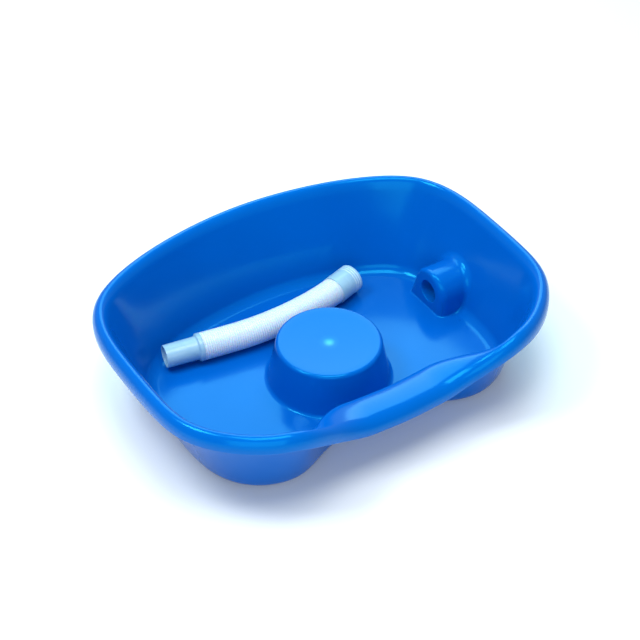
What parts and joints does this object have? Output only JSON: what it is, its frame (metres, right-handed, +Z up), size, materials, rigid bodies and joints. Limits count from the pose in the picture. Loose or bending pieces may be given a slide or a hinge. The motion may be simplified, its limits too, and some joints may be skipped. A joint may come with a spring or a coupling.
{
  "type": "bedside hair washing basin",
  "caption": "Moulded plastic basin for washing hair in bed, with a rolled rim, a dipped neck rest, a raised head pedestal, a drain boss and a loose corrugated drain hose.",
  "frame": {"origin": "on the ground under the middle of the basin's plan", "axes": "+X along the basin towards the drain boss, +Y towards the long curved back wall, -Y towards the neck rest, +Z up"},
  "size_m": [0.5902, 0.4515, 0.14],
  "materials": {
    "basin_plastic": "smooth glossy injection moulded polypropylene, saturated blue",
    "hose_corrugated": "milky white finely corrugated soft plastic",
    "hose_cuff": "milky translucent smooth soft plastic"
  },
  "bodies": {
    "basin": {"basin": "basin_plastic"},
    "hose": {"hose_tube": "hose_corrugated", "hose_spigot_cuff": "hose_cuff", "hose_socket_cuff": "hose_cuff"}
  },
  "joints": [
    {"name": "hose_lift", "type": "slide", "parent": "basin", "child": "hose", "axis": [0, 0, 1], "range_m": [0, 0.16]}
  ]
}
